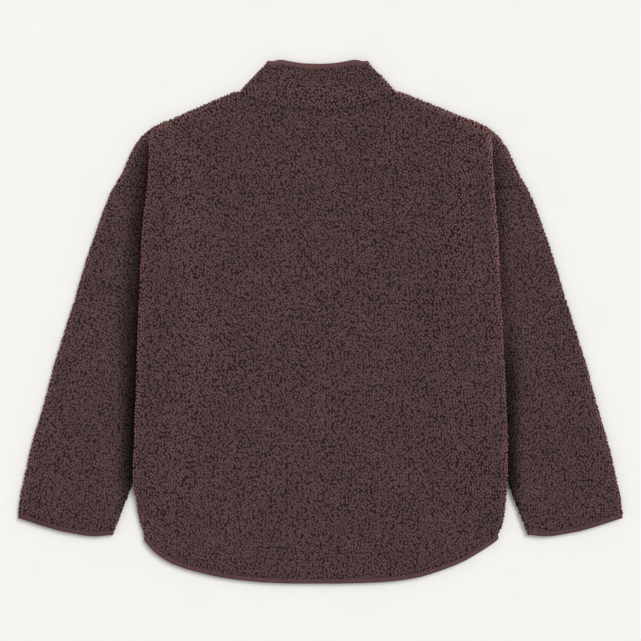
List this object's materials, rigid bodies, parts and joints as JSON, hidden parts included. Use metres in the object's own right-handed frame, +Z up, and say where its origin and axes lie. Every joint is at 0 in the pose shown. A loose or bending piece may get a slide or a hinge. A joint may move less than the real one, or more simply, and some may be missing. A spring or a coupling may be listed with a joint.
{
  "type": "sherpa jacket",
  "caption": "Sherpa fleece jacket with stand collar, dropped sleeves, curved hem and bound edges, lying flat on its front with its back upwards.",
  "frame": {"origin": "middle of the lying garment's footprint, on the surface that it lies on", "axes": "+X from the left sleeve to the right sleeve as seen from above, +Y from the hem to the collar, +Z up, out of the back"},
  "size_m": [0.8344, 0.7228, 0.0255],
  "materials": {
    "sherpa": "curled polyester pile, plum brown",
    "binding": "knitted stretch binding, slightly redder",
    "zip_metal": "dark enamelled coil and slider"
  },
  "bodies": {
    "root": {"back": "sherpa", "front_left": "sherpa", "front_right": "sherpa", "sleeve_left": "sherpa", "sleeve_right": "sherpa", "collar": "sherpa", "collar_binding": "binding", "cuff_binding_left": "binding", "cuff_binding_right": "binding", "hem_binding": "binding", "zip_tape_left": "binding", "zip_tape_right": "binding", "zip_puller": "binding", "zip_chain": "zip_metal", "zip_slider": "zip_metal"}
  },
  "joints": []
}
